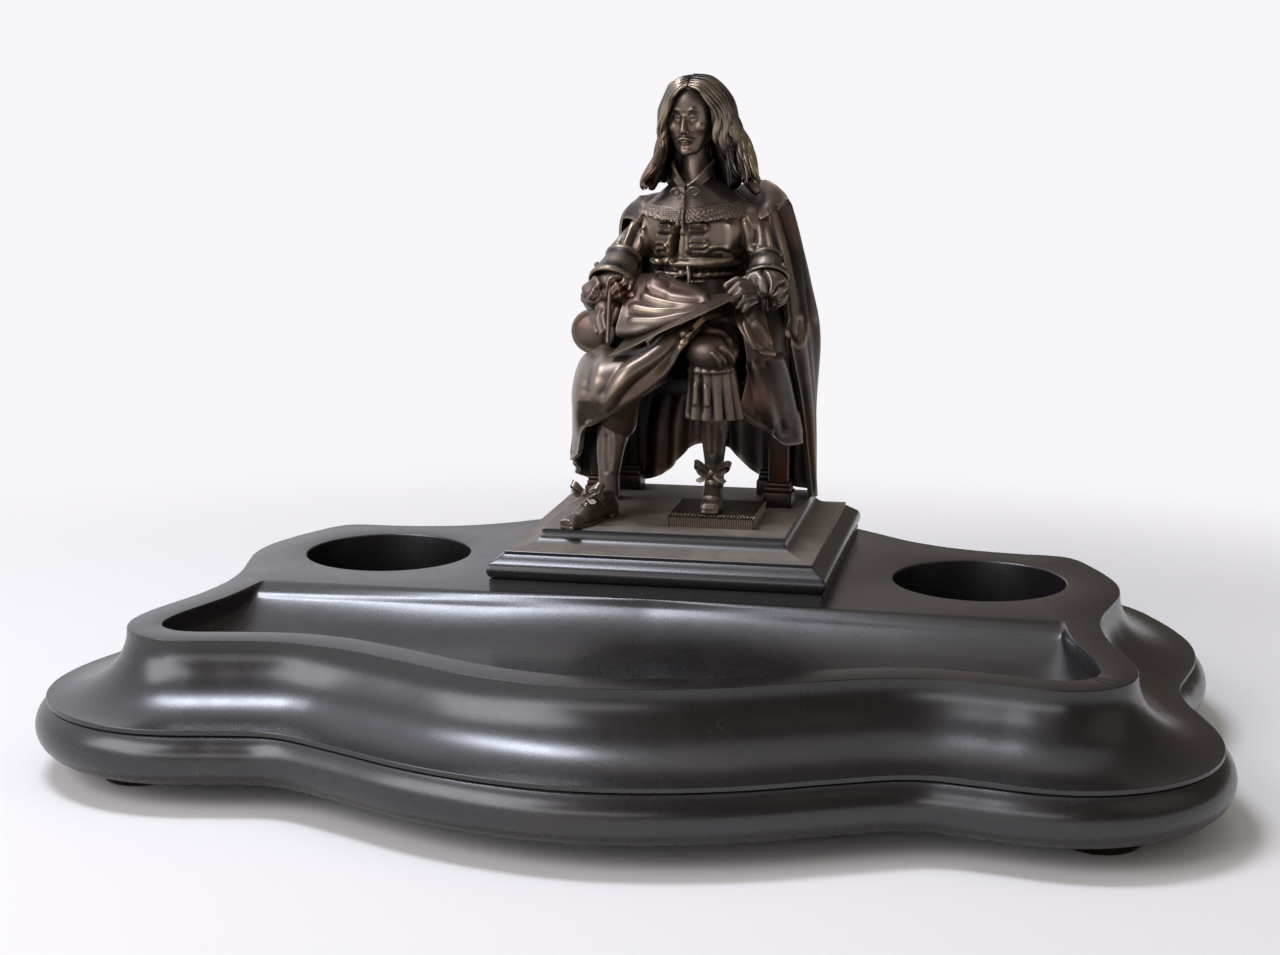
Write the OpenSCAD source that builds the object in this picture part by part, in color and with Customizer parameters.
// Desk inkstand: a scrolled black marble base with a long pen tray and two
// inkwell bores, a moulded square plinth, and a seated bronze writer on it.
// Millimetres. +Z up, +Y to the back. The origin is under the middle of the
// base, on the surface that the four bun feet stand on.

/* [Marble base] */
// Width over the top rim of the base
rim_w = 319.6; // [310:0.1:360]
// Depth over the top rim of the base
rim_d = 243; // [238:0.1:280]
// How far the moulding stands out from the rim all round
moulding_reach = 29.8; // [28:0.1:34]
// Height of the upper course, rim to fillet
tray_course_h = 22.5; // [20:0.1:30]
// Height of the lower course, which carries the torus
torus_course_h = 17; // [16:0.1:22]
// Radius of the torus round the foot of the base
torus_r = 9; // [8:0.1:9.5]
// Height of the small fillet under the hollow moulding
fillet_h = 1.5; // [1:0.1:2.5]
// Height of the bun feet
foot_h = 7; // [5:0.1:12]
// Radius of the bun feet
foot_r = 13; // [10:0.1:15]

/* [Pen tray] */
// Width of the marble land left between the rim and the pen tray
tray_land = 11; // [9:0.1:15]
// Depth of the pen tray
tray_depth = 14.5; // [8:0.1:16]
// Length of the coved end of the pen tray
tray_cove = 24; // [15:0.1:40]
// Marble left between the pen tray and the plinth
tray_to_plinth = 5.9; // [3:0.1:10]

/* [Inkwell bores] */
// Radius of each inkwell bore
well_r = 30; // [24:0.1:32]
// Depth of each inkwell bore
well_depth = 30; // [24:0.1:36]
// From the widest part of the rim in to the middle of a bore
well_inset = 52.2; // [46:0.1:56]
// From the rear rim forward to the middle of a bore
well_from_rear = 86.5; // [80:0.1:92]

/* [Plinth] */
// Width and depth of the plinth at its torus
plinth_w = 117.4; // [112:0.1:124]
// Overall height of the plinth
plinth_h = 18; // [17:0.1:24]
// Height of the plinth's lower course, fillet and torus
plinth_torus_h = 10.5; // [9.5:0.1:12]
// From the rear rim of the base to the back of the plinth
plinth_from_rear = 13.2; // [12:0.1:24]
// How far the plinth's mouldings step in from torus to cap
plinth_step = 16; // [12:0.1:18]

/* [Bronze figure] */
// Height of the seated figure, plinth top to crown
figure_h = 155; // [140:0.1:165]
// Thickness of the cast cloth edges
cloth_t = 2.2; // [1.8:0.1:3]
// Width of the chair over its front legs
chair_w = 77; // [74:0.1:80]
// Height of the chair seat
seat_h = 46; // [44:0.1:48]
// Thickness of the chair seat
seat_t = 6; // [4:0.1:8]
// Radius of the rolled chair arms
arm_r = 7.8; // [6.5:0.1:8.5]
// Width of the footstool
stool_w = 31; // [28:0.1:34]
// Height of the footstool
stool_h = 4.9; // [4.5:0.1:5.1]
// Radius of the quill's shaft
quill_r = 0.8; // [0.6:0.1:1.1]

/* [Fixings] */
// Radius of the tie rods that hold the bronze to the marble
rod_r = 2; // [1.5:0.1:2.5]
// Running room round the rods and screws in the marble
rod_clearance = 0.4; // [0.2:0.1:1]
// Radius of the rod washers
washer_r = 6; // [5:0.1:7]
// Thickness of the rod washers
washer_t = 1; // [0.8:0.1:1.5]
// Height of the rod nuts
nut_h = 3.2; // [2.5:0.1:4]
// Radius of the foot screws
foot_screw_r = 2; // [1.5:0.1:2.5]
// Length of the foot screws above the foot
foot_screw_grip = 9; // [6:0.1:12]

/* [Hidden] */

marble = "#1d1d20";
bronze = "#4a3c2e";
steel = "#8c8c88";
form_fn = 12;

// Heights of the courses
base_bottom = foot_h;
course_joint = base_bottom + torus_course_h;
base_top = course_joint + tray_course_h;
plinth_joint = base_top + plinth_torus_h;
plinth_top = base_top + plinth_h;

// Places along Y, worked forward from the rear rim
plinth_rear = rim_d / 2 - plinth_from_rear;
plinth_front = plinth_rear - plinth_w;
plinth_y = (plinth_rear + plinth_front) / 2;
tray_back = plinth_front - tray_to_plinth;
well_x = rim_w / 2 - well_inset;
well_y = rim_d / 2 - well_from_rear;

// Half of the top rim, from the middle of the front round to the middle of
// the back, as first drawn at 319.6 wide and 243 deep
drawn_w = 319.6;
drawn_d = 243;
rim_points = [
  [0, -121.5], [20, -119.2], [40, -113.5], [60, -104.5], [80, -95.8],
  [92, -92.6], [104, -92], [120, -94.4], [132, -96.6], [141, -96.5],
  [149, -93.4], [155, -88], [158.4, -81.5], [159.8, -73], [158.4, -62],
  [155, -50], [151, -35.5], [149, -18.5], [150, -4], [153, 10],
  [155.6, 24], [155, 38], [151, 52], [145.5, 65], [141.5, 72.6],
  [137, 77], [130.5, 78.6], [119, 79], [105, 81.2], [92, 85.2],
  [78, 93], [65, 104], [54, 112.6], [40, 118.4], [20, 121], [0, 121.5]
];
rim_steps = 2;

// Scotia from the rim out to the fillet, and torus below it
scotia_reach = moulding_reach - 4.3;
torus_y = moulding_reach - torus_r;
torus_z = base_bottom + torus_r;
torus_start = asin(min(1, (course_joint - torus_z) / torus_r));

// The plinth's cap and mouldings
cap_w = plinth_w - 2 * plinth_step;
cap_edge_h = 1.4;
cavetto_foot_w = plinth_w - 10.4;
plinth_fillet_h = 2.5;

// Feet stand inside the torus, near the four scrolls of the base
foot_places = [
  ["front_left", -(rim_w / 2 - 9.8), -(rim_d / 2 - 28.5)],
  ["front_right", rim_w / 2 - 9.8, -(rim_d / 2 - 28.5)],
  ["rear_left", -(rim_w / 2 - 26), rim_d / 2 - 44],
  ["rear_right", rim_w / 2 - 26, rim_d / 2 - 44]
];
foot_head_r = foot_screw_r * 2;
foot_head_h = foot_screw_r;

// The figure is drawn 155 high, in its own frame on the plinth's top
figure_scale = figure_h / 155;
leg_foot = 10.7;
leg_top = 7;
leg_front_y = 12;
leg_rear_y = 34.5;
leg_x = chair_w / 2 - leg_foot / 2;
leg_rear_x = leg_x - 5.6;
leg_foot_h = 7.5;
leg_neck_h = 1.5;
arm_x = [-leg_x - 2.5, leg_x - 0.5];
arm_z = seat_h + 16.6;
arm_rear_y = 35;
arm_l = 26;
arm_ring = 1.4;
seat_front_y = 5;
seat_rear_y = 38;
stool_x = 15.3;
stool_front_y = -32;
stool_rear_y = -4;
rod_depth = 9;
rod_places = [
  for (p = [[-leg_x, leg_front_y], [leg_x, leg_front_y], [stool_x, -18]])
    [p[0] * figure_scale, plinth_y + p[1] * figure_scale]
];
rod_seats = [rod_depth, rod_depth, (stool_h - 1.4) * figure_scale];
nut_r = 3.7;
pocket_h = nut_h + washer_t + 2.5;

// Open Catmull-Rom curve through the points c, at t from 0 to len(c) - 1
function curve(c, t) =
  let (i = min(floor(t), len(c) - 2), f = t - i, p1 = c[i], p2 = c[i + 1],
       p0 = i > 0 ? c[i - 1] : 2 * p1 - p2,
       p3 = i + 2 < len(c) ? c[i + 2] : 2 * p2 - p1)
  0.5 * (2 * p1 + (p2 - p0) * f + (2 * p0 - 5 * p1 + 4 * p2 - p3) * f * f
    + (3 * p1 - p0 - 3 * p2 + p3) * f * f * f);

// The whole rim as a closed outline, counter-clockwise from the front
half_rim = [
  for (i = [0 : rim_steps * (len(rim_points) - 1)])
    let (p = curve(rim_points, i / rim_steps))
    [p[0] * rim_w / drawn_w, p[1] * rim_d / drawn_d]
];
half_n = len(half_rim);
rim = concat(half_rim, [for (i = [half_n - 2 : -1 : 1]) [-half_rim[i][0], half_rim[i][1]]]);
rim_n = len(rim);

// Outward direction of the rim at point i
function outward(i) =
  let (a = rim[(i + rim_n - 1) % rim_n], b = rim[(i + 1) % rim_n], d = b - a)
  [d[1], -d[0]] / norm(d);

// The rim moved outward by d, at height z
function rim_ring(d, z) =
  [for (i = [0 : rim_n - 1]) let (p = rim[i] + d * outward(i)) [p[0], p[1], z]];

// Closed solid through rings of points, each counter-clockwise, bottom first
module skin(rings) {
  n = len(rings[0]);
  k = len(rings);
  function middle(r) = [0, 0, r[0][2]] + [for (a = [0 : 2])
    a < 2 ? r[0][a] + r[floor(n / 2)][a] : 0] / 2;
  points = concat([for (r = rings, p = r) p], [middle(rings[0]), middle(rings[k - 1])]);
  sides = [
    for (j = [0 : k - 2], i = [0 : n - 1])
      let (a = j * n + i, b = j * n + (i + 1) % n)
      each [[a, a + n, b + n], [a, b + n, b]]
  ];
  ends = [
    for (i = [0 : n - 1])
      let (i2 = (i + 1) % n, top = (k - 1) * n)
      each [[k * n, i, i2], [k * n + 1, top + i2, top + i]]
  ];
  polyhedron(points = points, faces = concat(sides, ends), convexity = 6);
}

// Points of a smooth patch through a net of control points
function patch(net, nu, nv) = [
  for (j = [0 : nv]) [
    for (i = [0 : nu])
      curve([for (row = net) curve(row, i / nu * (len(row) - 1))], j / nv * (len(net) - 1))
  ]
];

// Closed sheet of thickness t, centred on the grid of points g
module sheet(g, t) {
  nu = len(g[0]) - 1;
  nv = len(g) - 1;
  m = (nu + 1) * (nv + 1);
  function side(j, i) =
    let (a = g[j][min(i + 1, nu)] - g[j][max(i - 1, 0)],
         b = g[min(j + 1, nv)][i] - g[max(j - 1, 0)][i],
         c = cross(a, b))
    c / norm(c) * t / 2;
  function at(j, i) = j * (nu + 1) + i;
  points = concat(
    [for (j = [0 : nv], i = [0 : nu]) g[j][i] + side(j, i)],
    [for (j = [0 : nv], i = [0 : nu]) g[j][i] - side(j, i)]
  );
  skins = [
    for (j = [0 : nv - 1], i = [0 : nu - 1])
      let (a = at(j, i), b = at(j, i + 1), c = at(j + 1, i + 1), d = at(j + 1, i))
      each [[a, d, c], [a, c, b], [a + m, c + m, d + m], [a + m, b + m, c + m]]
  ];
  long_edges = [
    for (i = [0 : nu - 1])
      let (a = at(0, i), b = at(0, i + 1), c = at(nv, i), d = at(nv, i + 1))
      each [[a, b, b + m], [a, b + m, a + m], [d, c, c + m], [d, c + m, d + m]]
  ];
  short_edges = [
    for (j = [0 : nv - 1])
      let (a = at(j, 0), b = at(j + 1, 0), c = at(j, nu), d = at(j + 1, nu))
      each [[b, a, a + m], [b, a + m, b + m], [c, d, d + m], [c, d + m, c + m]]
  ];
  polyhedron(points = points, faces = concat(skins, long_edges, short_edges), convexity = 8);
}

// Sculpting helpers: a stretched ball, and a limb between two balls
module ball(p, r, s = [1, 1, 1]) {
  translate(p) scale(s) sphere(r = r, $fn = form_fn);
}

module limb(a, ra, b, rb) {
  hull() {
    ball(a, ra);
    ball(b, rb);
  }
}

// A run of limbs through points p, each with its radius in r
module run(p, r) {
  for (i = [0 : len(p) - 2]) limb(p[i], r[i], p[i + 1], r[i + 1]);
}

// Places a form drawn in the figure's frame on the plinth
module on_plinth() {
  translate([0, plinth_y, plinth_top]) scale(figure_scale) children();
}

// ---- Marble ----

// Gutter of the pen tray: a patch between the tray's front, side and back
// edges, deep in the middle, closed by a lid just above the marble
tray_nu = 36;
tray_nv = 8;
tray_corner = 11 * rim_steps;
tray_edge = [for (i = [0 : half_n - 1]) rim[i] - tray_land * outward(i)];
tray_front = [for (i = [0 : tray_corner]) tray_edge[i]];
tray_side_open = [for (i = [tray_corner : half_n - 1]) if (tray_edge[i][1] < tray_back - 6)
  tray_edge[i]];
tray_half_l = tray_side_open[len(tray_side_open) - 1][0] - 0.6;
tray_side = concat(tray_side_open, [[tray_half_l, tray_back]]);

function tray_section(v) = pow(1 - v * v, 0.75);

function tray_end(s) =
  let (d = min(1, (1 - s) * tray_half_l / tray_cove))
  sqrt(max(0, 1 - (1 - d) * (1 - d)));

// Plan of the tray: s runs from the middle to the end, t from front to back
function tray_plan(s, t) =
  let (front = curve(tray_front, s * tray_corner),
       side = curve(tray_side, t * (len(tray_side) - 1)),
       front_0 = tray_front[0], front_1 = tray_side[0])
  (1 - t) * front + t * [tray_half_l * s, tray_back]
    + (1 - s) * ((1 - t) * front_0 + t * [0, tray_back]) + s * side
    - (1 - s) * ((1 - t) * front_0 + t * [0, tray_back])
    - s * ((1 - t) * front_1 + t * [tray_half_l, tray_back]);

function tray_point(u, v, z) =
  let (p = tray_plan(abs(u), (v + 1) / 2)) [u < 0 ? -p[0] : p[0], p[1], z];

module tray_scoop() {
  lid = 1;
  top = base_top + lid;
  points = concat(
    [
      for (j = [0 : tray_nv], i = [0 : tray_nu])
        let (u = 2 * i / tray_nu - 1, v = 2 * j / tray_nv - 1,
             d = min(tray_section(v), tray_end(abs(u))) * tray_depth)
        tray_point(u, v, base_top - d)
    ],
    [
      for (j = [0 : tray_nv], i = [0 : tray_nu])
        tray_point(2 * i / tray_nu - 1, 2 * j / tray_nv - 1, top)
    ]
  );
  w = tray_nu + 1;
  m = w * (tray_nv + 1);
  skins = [
    for (j = [0 : tray_nv - 1], i = [0 : tray_nu - 1])
      let (a = j * w + i, b = a + 1, c = a + w + 1, d = a + w)
      each [[a, b, c], [a, c, d], [a + m, c + m, b + m], [a + m, d + m, c + m]]
  ];
  rows = [
    for (i = [0 : tray_nu - 1])
      let (a = i, b = i + 1, c = tray_nv * w + i, d = c + 1)
      each [[b, a, a + m], [b, a + m, b + m], [c, d, d + m], [c, d + m, c + m]]
  ];
  ends = [
    for (j = [0 : tray_nv - 1])
      let (a = j * w, b = a + w, c = a + tray_nu, d = c + w)
      each [[a, b, b + m], [a, b + m, a + m], [d, c, c + m], [d, c + m, d + m]]
  ];
  polyhedron(points = points, faces = concat(skins, rows, ends), convexity = 6);
}

module well_bores() {
  for (side = [-1, 1])
    translate([side * well_x, well_y, base_top - well_depth])
      cylinder(r = well_r, h = well_depth + 1);
}

module rod_holes(z0, z1) {
  for (p = rod_places) translate([p[0], p[1], z0]) cylinder(r = rod_r + rod_clearance, h = z1 - z0);
}

module tray_body() {
  color(marble) difference() {
    skin(concat(
      [rim_ring(scotia_reach + 0.5, course_joint),
        rim_ring(scotia_reach + 0.5, course_joint + fillet_h)],
      [
        for (a = [90 : -15 : 0])
          rim_ring(scotia_reach * (1 - cos(a)), base_top - (tray_course_h - fillet_h) * sin(a))
      ]
    ));
    tray_scoop();
    well_bores();
    rod_holes(course_joint - 1, base_top + 1);
  }
}

module base_moulding() {
  color(marble) difference() {
    skin([
      for (i = [0 : 8])
        let (a = -90 + (torus_start + 90) * i / 8)
        rim_ring(torus_y + torus_r * cos(a), torus_z + torus_r * sin(a))
    ]);
    well_bores();
    rod_holes(base_bottom - 1, course_joint + 1);
    for (p = rod_places) translate([p[0], p[1], base_bottom - 1])
      cylinder(r = washer_r + 1.5, h = pocket_h + 1);
    for (f = foot_places)
      translate([f[1], f[2], base_bottom - 1]) cylinder(r = foot_screw_r, h = foot_screw_grip + 1);
  }
}

// A moulding that is square in plan, mitred at its corners: the profile is
// the half width at each height
module square_moulding(profile) {
  outline = concat(profile, [for (i = [len(profile) - 1 : -1 : 0])
    [-profile[i][0], profile[i][1]]]);
  l = plinth_w + 4;
  translate([0, plinth_y, 0]) intersection() {
    translate([0, l / 2, 0]) rotate([90, 0, 0]) linear_extrude(l) polygon(outline);
    translate([-l / 2, 0, 0]) rotate([90, 0, 90]) linear_extrude(l) polygon(outline);
  }
}

module plinth_torus() {
  ovolo_z = base_top + plinth_fillet_h;
  ovolo_h = plinth_torus_h - plinth_fillet_h;
  color(marble) difference() {
    square_moulding(concat(
      [[plinth_w / 2 - 0.8, base_top], [plinth_w / 2 - 0.8, ovolo_z]],
      [
        for (a = [-60 : 15 : 60])
          [plinth_w / 2 - 3.2 + 3.2 * cos(a),
            ovolo_z + ovolo_h * 0.36 + ovolo_h * 0.36 * sin(a) / sin(60)]
      ],
      [[plinth_w / 2 - 3.4, ovolo_z + ovolo_h * 0.86], [plinth_w / 2 - 4.9, plinth_joint]]
    ));
    rod_holes(base_top - 1, plinth_joint + 1);
  }
}

module plinth_cap() {
  cavetto_h = plinth_h - plinth_torus_h - cap_edge_h;
  color(marble) difference() {
    square_moulding(concat(
      [[cavetto_foot_w / 2, plinth_joint], [cavetto_foot_w / 2, plinth_joint + 1.2]],
      [
        for (a = [90 : -15 : 0])
          [
            cap_w / 2 + (cavetto_foot_w - cap_w) / 2 * (1 - cos(a)),
            plinth_joint + 1.2 + (cavetto_h - 1.2) * (1 - sin(a))
          ]
      ],
      [[cap_w / 2, plinth_top]]
    ));
    rod_holes(plinth_joint - 1, plinth_top + 1);
  }
}

// ---- Feet and fixings ----

module bun_foot(i) {
  color("#26211d") translate([foot_places[i][1], foot_places[i][2], 0]) difference() {
    rotate_extrude($fn = 48) polygon(concat(
      [[0, 0], [foot_r - 3, 0]],
      [for (a = [-60 : 15 : 60])
        [foot_r - 2 + 2 * cos(a), foot_h / 2 + foot_h / 2 * sin(a) * 0.94]],
      [[foot_r - 2.5, foot_h], [0, foot_h]]
    ));
    translate([0, 0, -1]) cylinder(r = foot_screw_r + rod_clearance, h = foot_h + 2);
    translate([0, 0, -1]) cylinder(r = foot_head_r + rod_clearance, h = foot_head_h + 1.6);
  }
}

module foot_screws() {
  color(steel) for (f = foot_places) translate([f[1], f[2], 0.6]) {
    cylinder(r = foot_head_r, h = foot_head_h);
    cylinder(r = foot_screw_r, h = foot_h + foot_screw_grip - 1.6);
  }
}

module tie_rods() {
  start = base_bottom + 1;
  color(steel) for (i = [0 : 2])
    translate([rod_places[i][0], rod_places[i][1], start])
      cylinder(r = rod_r, h = plinth_top + rod_seats[i] - start);
}

module rod_washers() {
  color(steel) for (p = rod_places) translate([p[0], p[1], base_bottom + pocket_h - washer_t])
    difference() {
    cylinder(r = washer_r, h = washer_t);
    translate([0, 0, -1]) cylinder(r = rod_r + 0.2, h = washer_t + 2);
  }
}

module rod_nuts() {
  color(steel) for (p = rod_places)
    translate([p[0], p[1], base_bottom + pocket_h - washer_t - nut_h]) difference() {
    cylinder(r = nut_r, h = nut_h, $fn = 6);
    translate([0, 0, -1]) cylinder(r = rod_r, h = nut_h + 2);
  }
}

// ---- Chair and footstool ----

module rod_seat_holes() {
  for (i = [0 : 2])
    translate([rod_places[i][0], rod_places[i][1], plinth_top - 1])
      cylinder(r = rod_r, h = rod_seats[i] + 1);
}

module chair_leg(x, y) {
  neck_w = leg_foot - 2;
  post_d = 5;
  translate([x - leg_foot / 2, y - leg_foot / 2, 0]) cube([leg_foot, leg_foot, leg_foot_h]);
  translate([x - neck_w / 2, y - neck_w / 2, leg_foot_h]) cube([neck_w, neck_w, leg_neck_h]);
  translate([x - leg_top / 2, y - leg_top / 2, leg_foot_h + leg_neck_h])
    cube([leg_top, leg_top, seat_h - leg_foot_h - leg_neck_h]);
  translate([x - leg_top / 2, y - post_d / 2, seat_h]) cube([leg_top, post_d, arm_z - seat_h]);
}

module chair_form() {
  front_w = leg_x + leg_top / 2;
  rear_w = leg_rear_x + leg_top / 2;
  translate([0, 0, seat_h - seat_t]) linear_extrude(seat_t) polygon([
    [-front_w, seat_front_y], [front_w, seat_front_y], [rear_w, seat_rear_y], [-rear_w, seat_rear_y]
  ]);
  for (side = [-1, 1]) {
    chair_leg(side * leg_x, leg_front_y);
    chair_leg(side * leg_rear_x, leg_rear_y);
  }
  for (x = arm_x) translate([x, arm_rear_y, arm_z]) rotate([90, 0, 0]) {
    cylinder(r = arm_r, h = arm_l);
    translate([0, 0, arm_l]) difference() {
      cylinder(r = arm_r + 0.6, h = arm_ring);
      translate([0, 0, arm_ring / 2]) cylinder(r = arm_r - 2.2, h = arm_ring);
    }
  }
}

module chair() {
  color(bronze) difference() {
    on_plinth() chair_form();
    rod_seat_holes();
  }
}

module footstool() {
  color(bronze) difference() {
    on_plinth() {
      translate([stool_x - stool_w / 2 + 0.8, stool_front_y + 0.8, 0])
        cube([stool_w - 1.6, stool_rear_y - stool_front_y - 1.6, stool_h - 1.3]);
      translate([stool_x - stool_w / 2, stool_front_y, stool_h - 1.3])
        cube([stool_w, stool_rear_y - stool_front_y, 1.3]);
    }
    rod_seat_holes();
  }
}

// Tassels hang as a row of small teeth round the footstool
module footstool_fringe() {
  pitch = 1.24;
  inner_w = stool_w - 1.6;
  inner_d = stool_rear_y - stool_front_y - 1.6;
  function teeth(l) = floor(l / pitch);
  color(bronze) on_plinth()
    translate([stool_x, (stool_front_y + stool_rear_y) / 2, 0]) linear_extrude(stool_h - 1.3)
      difference() {
      union() {
        square([inner_w + 0.9, inner_d + 0.9], center = true);
        for (i = [0 : teeth(inner_w) - 1], side = [-1, 1])
          translate([(i + 0.5 - teeth(inner_w) / 2) * pitch, side * (inner_d / 2 + 0.45)])
            square([0.7, 0.7], center = true);
        for (i = [0 : teeth(inner_d) - 1], side = [-1, 1])
          translate([side * (inner_w / 2 + 0.45), (i + 0.5 - teeth(inner_d) / 2) * pitch])
            square([0.7, 0.7], center = true);
      }
      square([inner_w, inner_d], center = true);
    }
}

// ---- The seated figure, drawn 155 high, facing -Y ----

neck = [-0.5, 18, 117];
skull = [-1, 17.5, 142];
hip_r = [-9, 27, 58];
hip_l = [14, 27, 58];
knee_r = [-20, -19, 49];
knee_l = [12, -12, 58];
ankle_r = [-24, -18, 13];
ankle_l = [12.3, -7, 17];
shoulder_r = [-14.5, 24, 101];
shoulder_l = [19.5, 17, 102.5];
elbow_r = [-28, 16, 88];
elbow_l = [27, 14, 90];
wrist_r = [-26.5, -4, 77];
wrist_l = [29, 1, 79];
fingers_r = [-25.5, -14, 68];
fingers_l = [20, -11, 79];

module head_form() {
  ball(skull, 10.2, [0.9, 1.05, 1.12]);
  hull() {
    ball(skull + [-0.5, -2, -1], 8.6);
    ball([-2.6, 9.4, 129.6], 3.2);
  }
  hull() {
    ball([-3.4, 6.4, 135.6], 1.1);
    ball([-3, 7.4, 143], 0.8);
  }
  limb([-0.8, 17.5, 130], 5.6, neck, 6.2);
}

module hair_form() {
  ball(skull + [0.4, 2, 1.2], 11.4, [0.95, 1.03, 1.02]);
  run([[-6.5, 15, 151], [-10.3, 16, 142], [-11.2, 16.5, 131], [-13, 15, 122], [-15.6, 12, 113]],
    [3, 3.6, 3.6, 3.8, 2.6]);
  run([[7, 16, 150], [11, 18, 141], [14.4, 20, 131], [18, 20, 121], [22.5, 19, 112.5]],
    [4, 4.2, 5, 5.4, 3.6]);
  run([[0, 28, 146], [1, 30, 132], [2, 30, 119]], [5, 8, 7]);
  limb([9, 25, 132], 6, [13, 27, 117], 6);
  limb([-6, 25, 132], 5, [-9, 26, 118], 5);
}

module head() {
  color(bronze) on_plinth() head_form();
}

module hair() {
  color(bronze) on_plinth() difference() {
    hair_form();
    head_form();
    hull() {
      ball([-3, 3, 146], 6.4);
      ball([-3, 3, 124], 7);
      ball([-1.5, 12, 127], 6);
    }
  }
}

module torso_form() {
  hull() {
    ball([1.2, 20, 92], 12, [1.32, 1, 0.8]);
    ball([1.5, 20, 99], 13.2, [1.2, 0.95, 0.9]);
    ball(shoulder_r, 7);
    ball(shoulder_l, 7);
    ball([1, 21, 110], 6);
  }
}

module doublet() {
  color(bronze) on_plinth() difference() {
    torso_form();
    head_form();
    hair_form();
    translate([-40, -20, 60]) cube([80, 80, 26.5]);
  }
}

module waist_form() {
  hull() {
    ball([1, 20, 82], 11, [1.28, 1, 0.8]);
    ball([2, 26, 60], 13, [1.3, 1, 0.8]);
  }
}

module waist() {
  color(bronze) on_plinth() difference() {
    waist_form();
    torso_form();
    chair_space();
    arm_and_cuff_forms();
  }
}

module falling_collar_form() {
  hull() {
    ball([-1.2, 10.5, 112.5], 3);
    ball([-13.5, 12.5, 105.3], 2.4);
    ball([-11.5, 19, 108.8], 3);
    ball([14, 12.5, 106], 2.4);
    ball([15, 18, 109], 3);
    ball([-1, 7.2, 105], 2);
    ball([0, 22, 114.5], 4);
    ball([-0.6, 16.5, 117], 6);
  }
}

module falling_collar() {
  color(bronze) on_plinth() difference() {
    falling_collar_form();
    torso_form();
    head_form();
    hair_form();
  }
}

module throat_bow() {
  color(bronze) on_plinth() difference() {
    union() {
      ball([-1.6, 6.6, 112.6], 1.1);
      limb([-1.6, 6.6, 112.6], 0.6, [-5.4, 7.4, 113.2], 1.3);
      limb([-1.6, 6.6, 112.6], 0.6, [2.2, 6.8, 113.2], 1.3);
      run([[-1.6, 5.9, 112.4], [-2.2, 4.6, 107], [-3, 4.2, 101.5]], [0.6, 0.7, 1]);
      run([[-1.4, 5.9, 112.4], [-1.6, 4.6, 107], [-1.2, 4.2, 100.5]], [0.6, 0.7, 1]);
    }
    falling_collar_form();
    torso_form();
  }
}

module right_arm_form() {
  run([shoulder_r, [-22, 21, 94], elbow_r], [6.6, 6.2, 5.6]);
  limb(elbow_r, 5.6, [-27, 6, 83], 5.2);
}

module left_arm_form() {
  run([shoulder_l, [24.5, 17, 97], elbow_l], [6.6, 6, 5.6]);
  limb(elbow_l, 5.6, [28.5, 7, 84], 5.2);
}

module right_cuff_form() {
  hull() {
    ball([-25, 11.5, 88.6], 6.4);
    ball([-27, 3, 81.6], 8.2, [1.04, 0.9, 0.75]);
  }
}

module left_cuff_form() {
  hull() {
    ball([27, 10.5, 89], 6.2);
    ball([28.6, 5, 83.4], 7.4, [1, 0.9, 0.75]);
  }
}

module arm_and_cuff_forms() {
  right_arm_form();
  left_arm_form();
  right_cuff_form();
  left_cuff_form();
}

module right_sleeve() {
  color(bronze) on_plinth() difference() {
    right_arm_form();
    torso_form();
    falling_collar_form();
    hair_form();
    right_cuff_form();
  }
}

module left_sleeve() {
  color(bronze) on_plinth() difference() {
    left_arm_form();
    torso_form();
    falling_collar_form();
    hair_form();
    left_cuff_form();
  }
}

module right_cuff() {
  color(bronze) on_plinth() difference() {
    right_cuff_form();
    torso_form();
    right_hand_form();
    right_ruffle_form();
  }
}

module left_cuff() {
  color(bronze) on_plinth() difference() {
    left_cuff_form();
    torso_form();
    left_hand_form();
    left_ruffle_form();
  }
}

module right_ruffle_form() {
  hull() {
    ball([-27, 0, 78.6], 7.6, [1.05, 0.8, 0.7]);
    ball([-27, -4.5, 75], 8, [1.1, 0.6, 0.55]);
  }
}

module left_ruffle_form() {
  hull() {
    ball([29, 2, 80.5], 6.4, [1, 0.85, 0.8]);
    ball([29, -2, 77.6], 6.6, [0.95, 0.8, 0.8]);
  }
}

module right_hand_form() {
  limb(wrist_r, 3.6, [-26.5, -11, 71], 3.6);
  limb([-26.5, -11, 71], 3.6, fingers_r, 2);
  limb([-24.6, -9, 73], 1.6, [-23.2, -14.5, 68.4], 1.3);
}

module left_hand_form() {
  limb(wrist_l, 3.4, [23.5, -9, 79.4], 3.2);
  limb([23.5, -9, 79.4], 3.2, fingers_l, 2);
  limb([24, -6, 81.6], 1.5, [18.6, -9, 82], 1.3);
}

module right_ruffle() {
  color(bronze) on_plinth() difference() {
    right_ruffle_form();
    right_hand_form();
    quill_form();
  }
}

module left_ruffle() {
  color(bronze) on_plinth() difference() {
    left_ruffle_form();
    left_hand_form();
    coat_form();
  }
}

module right_hand() {
  color(bronze) on_plinth() difference() {
    right_hand_form();
    quill_form();
    lap_forms();
  }
}

module left_hand() {
  color(bronze) on_plinth() difference() {
    left_hand_form();
    lap_forms();
    manuscript_form();
  }
}

quill_top = [-25.2, -9.4, 82];
quill_tip = [-24.2, -18.6, 64];

module quill_form() {
  d = quill_tip - quill_top;
  tilt = acos(d[2] / norm(d));
  turn = atan2(d[1], d[0]);
  translate(quill_top) rotate([0, tilt, turn]) {
    cylinder(r = quill_r, h = norm(d) - 3, $fn = 24);
    translate([0, 0, norm(d) - 3]) cylinder(r1 = quill_r, r2 = 0.2, h = 3, $fn = 24);
  }
}

module quill() {
  color(bronze) on_plinth() quill_form();
}

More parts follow.
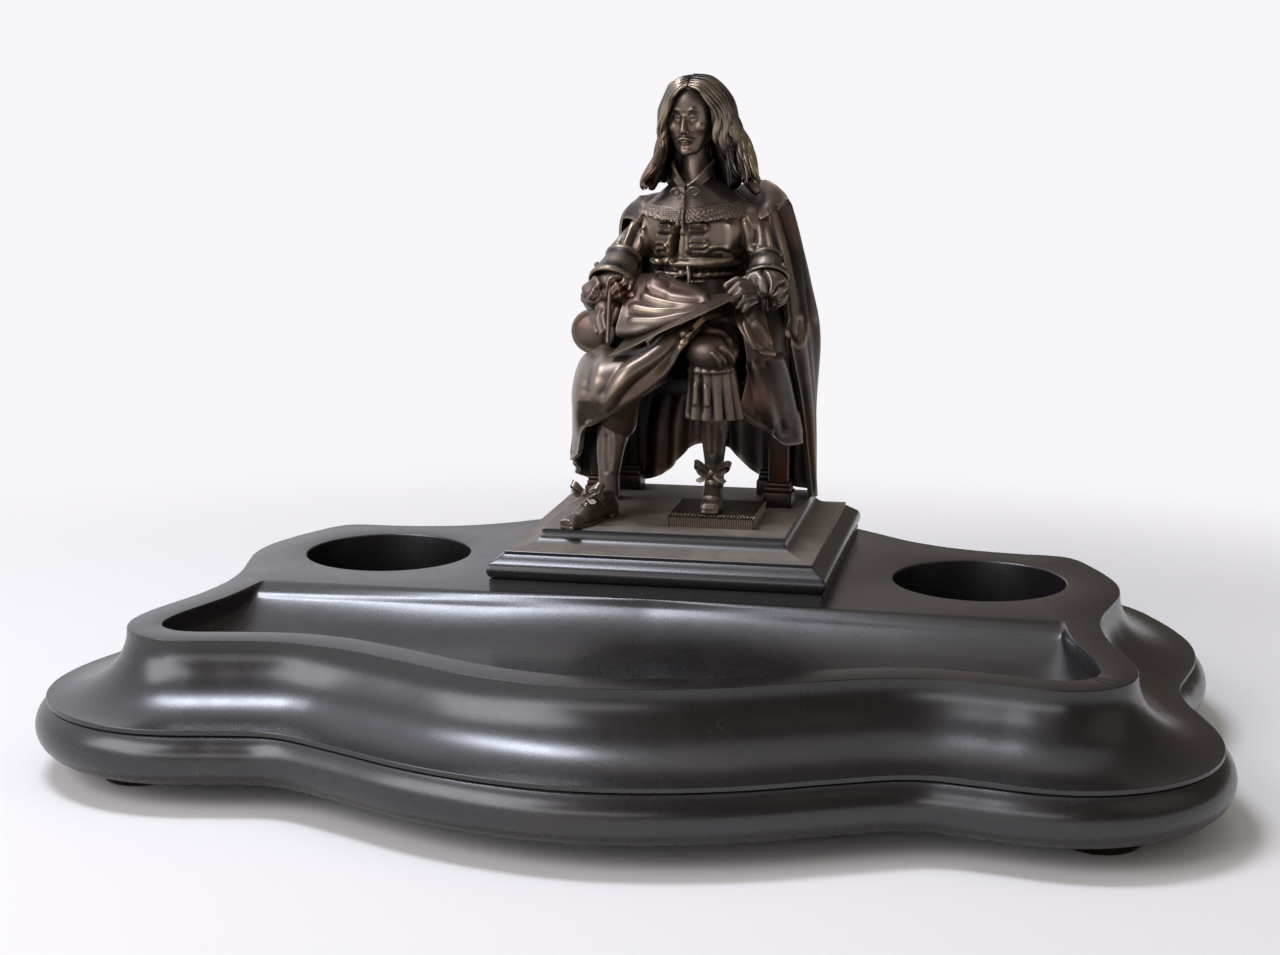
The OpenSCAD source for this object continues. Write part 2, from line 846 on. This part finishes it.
// Loose leaves: front edge first, then back over the lap to the waist
leaf_net = [
  [[-21.9, -27.5, 58.6], [-13, -27.5, 62.6], [-3.8, -26.5, 67.4], [5, -25.5, 71.4],
    [13.5, -24, 75.4], [22.3, -17, 79.6]],
  [[-20, -20, 61], [-11, -18, 66], [-3, -17, 70.4], [5, -17, 73.6], [13, -17, 76.2],
    [21, -13, 79.2]],
  [[-18, -12, 65.2], [-9, -10, 69.4], [-2, -10, 72.6], [6, -10, 75], [13, -10, 76.8],
    [20, -8, 78.8]],
  [[-16, -4, 70], [-8, -3, 73.2], [-1, -3, 75.2], [6, -3, 76.6], [13, -4, 77.6], [19, -4, 79]]
];

module manuscript_form() {
  sheet(patch(leaf_net, 14, 8), 1.4);
}

module manuscript() {
  color(bronze) on_plinth() manuscript_form();
}

// Cloth gathered over the lap, below the leaves and up to the waist
module lap_pleats_form() {
  hull() {
    ball([-12, -2, 66], 4, [1.6, 1, 0.8]);
    ball([10, 0, 70], 4, [1.5, 1, 0.8]);
    ball([-12, 8, 78], 4, [1.2, 1, 1]);
    ball([10, 8, 77], 4, [1.2, 1, 1]);
    ball([0, 18, 70], 10, [1.4, 0.6, 0.8]);
  }
  hull() {
    ball([-17, -7, 61], 4, [1.2, 1.4, 0.8]);
    ball([-10, 2, 66], 5);
    ball([4, -6, 67], 4.4);
  }
}

module lap_forms() {
  lap_pleats_form();
  robe_form();
}

module lap_pleats() {
  color(bronze) on_plinth() difference() {
    lap_pleats_form();
    breeches_form();
    manuscript_form();
    robe_form();
    torso_form();
    waist_form();
  }
}

// Robe over the right thigh: each row runs from the chair arm round to the
// left knee, the first over the lap and the last along the sweeping hem
robe_net = [
  [[-33, 22, 56], [-32, 8, 57], [-29, -2, 58], [-22, -9, 58], [-13, -7, 60], [-3, -4, 64],
    [7, -2, 69], [14, -2, 71]],
  [[-36, 20, 50], [-36, 5, 53], [-34, -10, 55], [-27, -22, 56], [-15, -24, 59], [-4, -19, 64.5],
    [4, -13, 69.5], [12, -10, 71.5]],
  [[-38.5, 18, 42], [-38.5, 3, 45], [-37, -13, 47], [-31, -27, 50], [-19, -32, 53],
    [-6, -27, 59.5], [2, -19, 67], [10, -15.5, 71.5]],
  [[-40.5, 17, 32], [-40, 4, 35], [-38, -12, 37], [-32.6, -26, 42], [-20, -32.5, 47],
    [-7, -28.5, 55], [0.6, -21.5, 63], [8, -18, 70]],
  [[-42.5, 17, 22], [-42, 6, 24], [-38.5, -8, 28], [-32.6, -22.5, 36.5], [-19, -30, 42.5],
    [-6.5, -27, 52], [-0.4, -22.5, 59], [6, -19.6, 67.6]],
  [[-43, 17, 13.5], [-43.6, 8, 14.6], [-38, -4, 20], [-32.3, -19.5, 31.6], [-18, -27.5, 40.2],
    [-5.4, -25, 49.9], [-1.5, -22.5, 54.6], [3, -20.6, 64.3]]
];

module robe_form() {
  sheet(patch(robe_net, 18, 12), cloth_t);
}

module lap_robe() {
  color(bronze) on_plinth() difference() {
    robe_form();
    chair_form();
  }
}

module breeches_form() {
  run([hip_r, [-14, 2, 53], knee_r], [11, 10, 8.4]);
  run([hip_l, [13.5, 4, 59], knee_l], [11, 10.6, 9.2]);
  limb(knee_r, 8.4, [-21, -15, 36], 7.2);
  ball([12, -18.4, 59.6], 5.6, [1.1, 0.9, 1]);
  ball([2, 24, 56], 12, [1.2, 1, 0.9]);
}

module breeches() {
  color(bronze) on_plinth() difference() {
    breeches_form();
    robe_form();
    coat_form();
    chair_space();
    waist_form();
    right_stocking_form();
    left_canon_form();
  }
}

// The room that the chair seat takes under the figure
module chair_space() {
  translate([-50, 0, 0]) cube([100, 60, seat_h]);
}

// Frill below the left knee, fluted all round
module left_canon_form() {
  flutes = 9;
  n = 54;
  function frill(z, r, depth, y) = [
    for (i = [0 : n - 1])
      let (a = 360 * i / n, q = r * (1 + depth * cos(flutes * a)))
      [11.6 + q * cos(a), y + 0.86 * q * sin(a), z]
  ];
  skin([frill(36, 8.6, 0.07, -9.5), frill(40, 8.8, 0.06, -9.8), frill(48, 8.4, 0.04, -11),
    frill(54, 8, 0, -12)]);
}

module left_canon() {
  color(bronze) on_plinth() difference() {
    left_canon_form();
    left_stocking_form();
    robe_form();
  }
}

module left_stocking_form() {
  run([[12.2, -9.5, 47], [12.6, -8, 34], [12.3, -7.2, 24], ankle_l, [12.6, -8, 11]],
    [5.4, 5.2, 4.2, 3.7, 3.6]);
}

module right_stocking_form() {
  run([[-21.5, -14.5, 42], [-22.8, -15.5, 32], [-24, -17.5, 20], ankle_r, [-23.6, -19, 8]],
    [5.8, 5.6, 4.4, 3.9, 3.8]);
}

module left_stocking() {
  color(bronze) on_plinth() difference() {
    left_stocking_form();
    shoe_form_l();
  }
}

module right_stocking() {
  color(bronze) on_plinth() difference() {
    right_stocking_form();
    shoe_form_r();
  }
}

module shoe_form_l() {
  z = stool_h + 0.05;
  hull() {
    translate([12.6, -6, z]) cylinder(r = 4.2, h = 9, $fn = 16);
    translate([13.2, -13.6, z]) cylinder(r = 3.4, h = 10.6, $fn = 16);
    translate([13.6, -17, z]) cylinder(r = 4, h = 7.5, $fn = 16);
  }
  hull() {
    translate([13.6, -17, z]) cylinder(r = 4.2, h = 7, $fn = 16);
    translate([14.6, -27, z]) cylinder(r = 4.7, h = 3.4, $fn = 16);
    translate([14.7, -30.5, z]) cylinder(r = 3, h = 2.2, $fn = 16);
  }
}

module shoe_form_r() {
  hull() {
    translate([-23.4, -17.4, 0.05]) cylinder(r = 3.9, h = 9.5, $fn = 16);
    translate([-26.4, -27, 0.05]) cylinder(r = 4.1, h = 8.5, $fn = 16);
    translate([-27.8, -29.6, 0.05]) cylinder(r = 3.2, h = 9.4, $fn = 16);
  }
  hull() {
    translate([-26.4, -27, 0.05]) cylinder(r = 4.1, h = 7.5, $fn = 16);
    translate([-31.4, -38, 0.05]) cylinder(r = 4.4, h = 4, $fn = 16);
    translate([-33.4, -44, 0.05]) cylinder(r = 2.7, h = 2.4, $fn = 16);
  }
}

module left_shoe() {
  color(bronze) on_plinth() shoe_form_l();
}

module right_shoe() {
  color(bronze) on_plinth() shoe_form_r();
}

// A ribbon bow: a knot with two loops and two ends, at p, turned by a
module ribbon_bow(p, a) {
  translate(p) rotate([0, 0, a]) {
    ball([0, 0, 0], 1.6);
    for (s = [-1, 1]) {
      hull() {
        ball([s * 1.2, 0, 0.2], 1);
        ball([s * 5.2, 0.4, 1.6], 1.7, [1, 0.8, 1.1]);
      }
      limb([s * 1, 0, -0.4], 0.8, [s * 4, -0.8, -2], 1);
    }
  }
}

module shoe_bows() {
  color(bronze) on_plinth() difference() {
    union() {
      ribbon_bow([13, -15.6, 16.6], 0);
      ribbon_bow([-29, -31.4, 10.3], -18);
    }
    shoe_form_l();
    shoe_form_r();
    left_stocking_form();
    right_stocking_form();
  }
}

// Coat skirts over the left thigh and chair arm: rows run from the knee round
// to the side, the first at the waist and the last along the hem
coat_net = [
  [[16, 6, 75], [22, 5, 76], [28, 6, 75], [33, 10, 73], [36, 16, 72], [37, 24, 70]],
  [[19, -2, 72.5], [26, -4, 70], [32, -1, 67], [37, 5, 66], [41, 13, 66], [42.5, 24, 66]],
  [[22, -8, 66], [28, -8, 62], [34, -4, 58], [39, 3, 56], [42.5, 12, 56], [43.5, 24, 56]],
  [[24, -9, 54], [29, -8, 50], [34.5, -4, 47], [39.5, 3, 45], [42.6, 12, 44], [43.2, 24, 44]],
  [[22.5, -10, 43], [28, -9, 40], [34, -5, 37], [39.5, 2, 34], [42.4, 11, 32], [43, 22, 32]],
  [[21, -10.5, 37.2], [27, -8, 33.5], [32, -3, 29.6], [36, 3, 23], [41.2, 9, 23.4], [42.6, 18, 25]]
];

module coat_form() {
  sheet(patch(coat_net, 15, 12), cloth_t);
}

module coat_skirts() {
  color(bronze) on_plinth() difference() {
    coat_form();
    chair_form();
  }
}

// Cape down the figure's back and round the chair: rows run from the right
// front edge round the back to the left front edge, collar first, hem last
cape_net = [
  [
    [-21.5, 26, 110.5], [-16, 31, 110.8], [-9, 34, 111.4], [0, 35.5, 112.5], [9, 35.2, 112.5],
    [17, 33.6, 114.5], [24.5, 29.5, 116.4], [29.8, 26, 113.8], [32.8, 20, 110.6]
  ],
  [
    [-29.6, 30, 101.5], [-24, 36, 100.4], [-13, 41, 99], [-2, 42.6, 98], [9, 42.5, 98],
    [19, 41, 98], [28, 37, 98], [34, 30, 98.4], [34.5, 19, 98]
  ],
  [
    [-31, 35, 80], [-24, 42, 79], [-13, 45.6, 78], [-2, 46.6, 78], [10, 46.4, 78],
    [21, 45, 78], [31, 41, 78], [38.2, 33, 80], [37.6, 18, 80]
  ],
  [
    [-37, 37, 58], [-29, 43.4, 58], [-16, 46.4, 58], [-4, 47, 58], [9, 47, 58],
    [21, 46.4, 58], [32, 43.6, 58], [41.6, 36, 60], [41.6, 20, 60]
  ],
  [
    [-43, 24, 34], [-39.5, 35.5, 32], [-28, 42.5, 30], [-14, 43.6, 31], [-2, 45, 34],
    [10, 45, 34], [22, 44, 32], [36, 42, 33], [42.6, 28, 34]
  ],
  [
    [-43.6, 12, 12.6], [-42.4, 28, 4.2], [-31, 38.4, 1.3], [-16, 40.6, 4.2], [-4, 42.4, 15.6],
    [9, 42.4, 15.4], [20, 40.6, 6.4], [34, 41, 2.6], [43.2, 36, 0.9]
  ]
];

module cape_form() {
  sheet(patch(cape_net, 24, 14), cloth_t);
}

module cape() {
  color(bronze) on_plinth() difference() {
    cape_form();
    chair_form();
    torso_form();
    hair_form();
    robe_form();
    coat_form();
  }
}

tray_body();
base_moulding();
plinth_torus();
plinth_cap();
bun_foot(0);  // foot_front_left
bun_foot(1);  // foot_front_right
bun_foot(2);  // foot_rear_left
bun_foot(3);  // foot_rear_right
foot_screws();
tie_rods();
rod_washers();
rod_nuts();
chair();
footstool();
footstool_fringe();
doublet();
waist();
falling_collar();
throat_bow();
head();
hair();
right_sleeve();
right_cuff();
right_ruffle();
right_hand();
quill();
left_sleeve();
left_cuff();
left_ruffle();
left_hand();
manuscript();
lap_pleats();
lap_robe();
breeches();
left_canon();
left_stocking();
right_stocking();
left_shoe();
right_shoe();
shoe_bows();
coat_skirts();
cape();
